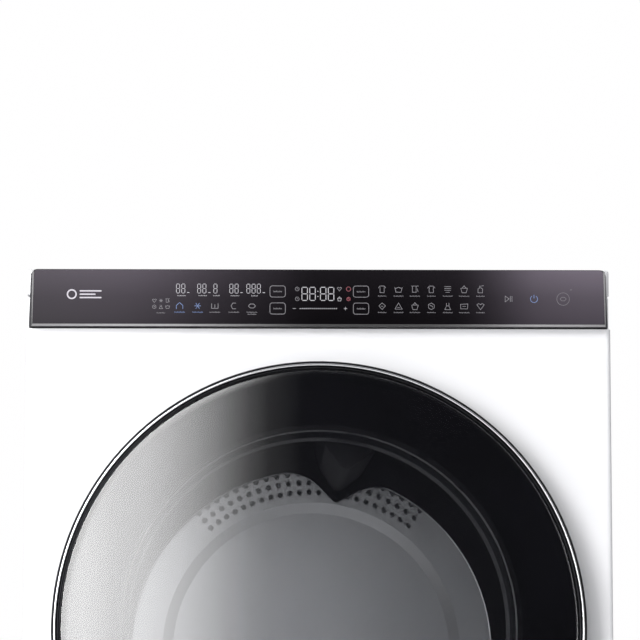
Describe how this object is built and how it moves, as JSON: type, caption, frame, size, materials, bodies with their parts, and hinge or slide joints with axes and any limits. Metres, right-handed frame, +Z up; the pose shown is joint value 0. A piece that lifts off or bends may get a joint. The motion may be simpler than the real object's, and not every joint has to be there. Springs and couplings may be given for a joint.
{
  "type": "clothes dryer",
  "caption": "Front-loading tumble dryer with a large round tinted glass door, full-width dark control strip, turning drum, water drawer and service flap.",
  "frame": {"origin": "on the floor, under the middle of the machine's overall box", "axes": "+Z up, the door and controls face -Y, +X to the right seen from the front"},
  "size_m": [0.595, 0.6499, 0.85],
  "materials": {
    "white_enamel": "smooth white enamel on pressed steel",
    "white_moulding": "smooth white moulded plastic",
    "galvanised": "dull galvanised sheet",
    "black_moulding": "glossy black moulding",
    "control_glass": "dark glossy control glass",
    "bright_trim": "polished bright trim",
    "tinted_glass": "dark tinted door glass",
    "clear_bowl": "clear moulded bowl",
    "stainless": "satin stainless steel",
    "dark_moulding": "dark grey moulded plastic",
    "grey_moulding": "grey moulded polypropylene",
    "felt": "pressed wool felt",
    "seal_rubber": "black rubber",
    "roller_rubber": "hard rubber",
    "zinc_steel": "zinc-plated steel",
    "motor_casting": "cast and laminated motor body",
    "black_paint": "satin black paint",
    "copper": "drawn copper tube",
    "coil_aluminium": "thin aluminium fins",
    "circuit_board": "green laminate",
    "lamp_lens": "frosted lens",
    "foot_plastic": "black moulded plastic"
  },
  "bodies": {
    "root": {"base_tray": "grey_moulding", "side_panel_left": "white_enamel", "side_panel_right": "white_enamel", "front_panel": "white_enamel", "plinth": "white_moulding", "rear_panel": "galvanised", "rear_duct_cover": "galvanised", "rear_screws": "zinc_steel", "worktop": "white_moulding", "fascia_housing": "black_moulding", "fascia_trim": "bright_trim", "fascia_glass": "control_glass", "display_board": "circuit_board", "control_box": "grey_moulding", "moisture_sensor": "stainless", "drum_lamp": "lamp_lens", "hinge_bracket": "zinc_steel", "door_seal": "seal_rubber", "door_lock": "dark_moulding", "front_bulkhead": "grey_moulding", "rear_bulkhead": "galvanised", "drum_back_disc": "stainless", "drum_felts": "felt", "roller_pins": "zinc_steel", "motor": "motor_casting", "fan_housing": "grey_moulding", "drive_belt": "seal_rubber", "heat_exchangers": "coil_aluminium", "compressor": "black_paint", "refrigerant_pipes": "copper", "heat_pump_duct": "grey_moulding", "filter_door": "grey_moulding", "drain_pump": "grey_moulding", "cable_gland": "dark_moulding", "drain_spigot": "grey_moulding"},
    "door": {"door_frame": "black_moulding", "door_ring": "bright_trim", "door_glass": "tinted_glass", "door_rear_cover": "black_moulding", "door_bowl": "clear_bowl", "door_striker": "zinc_steel", "hinge_leaf": "zinc_steel"},
    "drum": {"drum_shell": "stainless", "drum_rear_ring": "dark_moulding", "lifters": "dark_moulding"},
    "roller_l": {"roller_left": "roller_rubber"},
    "roller_r": {"roller_right": "roller_rubber"},
    "rotor": {"motor_shaft": "zinc_steel", "fan_impeller": "dark_moulding"},
    "idler": {"idler_arm": "zinc_steel"},
    "idler_wheel": {"idler_pulley": "roller_rubber"},
    "lint_screen": {"lint_filter": "grey_moulding"},
    "water_drawer": {"water_tank": "grey_moulding", "drawer_front": "white_moulding"},
    "flap": {"service_flap": "white_moulding"},
    "lever": {"filter_lever": "dark_moulding"},
    "foot_fl": {"foot_front_left": "foot_plastic"},
    "foot_fr": {"foot_front_right": "foot_plastic"},
    "foot_rl": {"foot_rear_left": "foot_plastic"},
    "foot_rr": {"foot_rear_right": "foot_plastic"}
  },
  "joints": [
    {"name": "door_hinge", "type": "hinge", "parent": "root", "child": "door", "pos_m": [-0.26, -0.303, 0.4845], "axis": [0, 0, -1], "range_deg": [0, 130]},
    {"name": "drum_spin", "type": "hinge", "parent": "root", "child": "drum", "pos_m": [0, 0, 0.4645], "axis": [0, 1, 0], "continuous": true},
    {"name": "roller_left_spin", "type": "hinge", "parent": "root", "child": "roller_l", "pos_m": [-0.14333, 0.203, 0.19494], "axis": [0, 1, 0], "continuous": true},
    {"name": "roller_right_spin", "type": "hinge", "parent": "root", "child": "roller_r", "pos_m": [0.14333, 0.203, 0.19494], "axis": [0, 1, 0], "continuous": true},
    {"name": "motor_spin", "type": "hinge", "parent": "root", "child": "rotor", "pos_m": [0.165, 0.2, 0.1], "axis": [0, 1, 0], "continuous": true},
    {"name": "idler_arm_pivot", "type": "hinge", "parent": "root", "child": "idler", "pos_m": [0.112, 0.162, 0.046], "axis": [0, 1, 0], "range_deg": [0, 12], "stiffness_Nm_per_rad": 1, "springref_deg": -5.73},
    {"name": "idler_pulley_spin", "type": "hinge", "parent": "idler", "child": "idler_wheel", "pos_m": [0.09, 0.15, 0.085], "axis": [0, 1, 0], "continuous": true},
    {"name": "lint_screen_lift", "type": "slide", "parent": "root", "child": "lint_screen", "axis": [0, 0, 1], "range_m": [0, 0.12]},
    {"name": "water_drawer_slide", "type": "slide", "parent": "root", "child": "water_drawer", "axis": [0, -1, 0], "range_m": [0, 0.34]},
    {"name": "flap_hinge", "type": "hinge", "parent": "root", "child": "flap", "pos_m": [0.283, -0.2785, 0.115], "axis": [0, 0, 1], "range_deg": [0, 110]},
    {"name": "filter_lever_turn", "type": "hinge", "parent": "root", "child": "lever", "pos_m": [0.254, -0.262, 0.113], "axis": [0, 1, 0], "range_deg": [0, 90]},
    {"name": "foot_front_left_screw", "type": "slide", "parent": "root", "child": "foot_fl", "axis": [0, 0, -1], "range_m": [0, 0.015]},
    {"name": "foot_front_right_screw", "type": "slide", "parent": "root", "child": "foot_fr", "axis": [0, 0, -1], "range_m": [0, 0.015]},
    {"name": "foot_rear_left_screw", "type": "slide", "parent": "root", "child": "foot_rl", "axis": [0, 0, -1], "range_m": [0, 0.015]},
    {"name": "foot_rear_right_screw", "type": "slide", "parent": "root", "child": "foot_rr", "axis": [0, 0, -1], "range_m": [0, 0.015]}
  ],
  "couplings": [
    {"joint": "roller_left_spin", "follows": "drum_spin", "ratio": -12.864},
    {"joint": "roller_right_spin", "follows": "drum_spin", "ratio": -12.864},
    {"joint": "motor_spin", "follows": "drum_spin", "ratio": 25.727},
    {"joint": "idler_pulley_spin", "follows": "drum_spin", "ratio": 14.15}
  ]
}
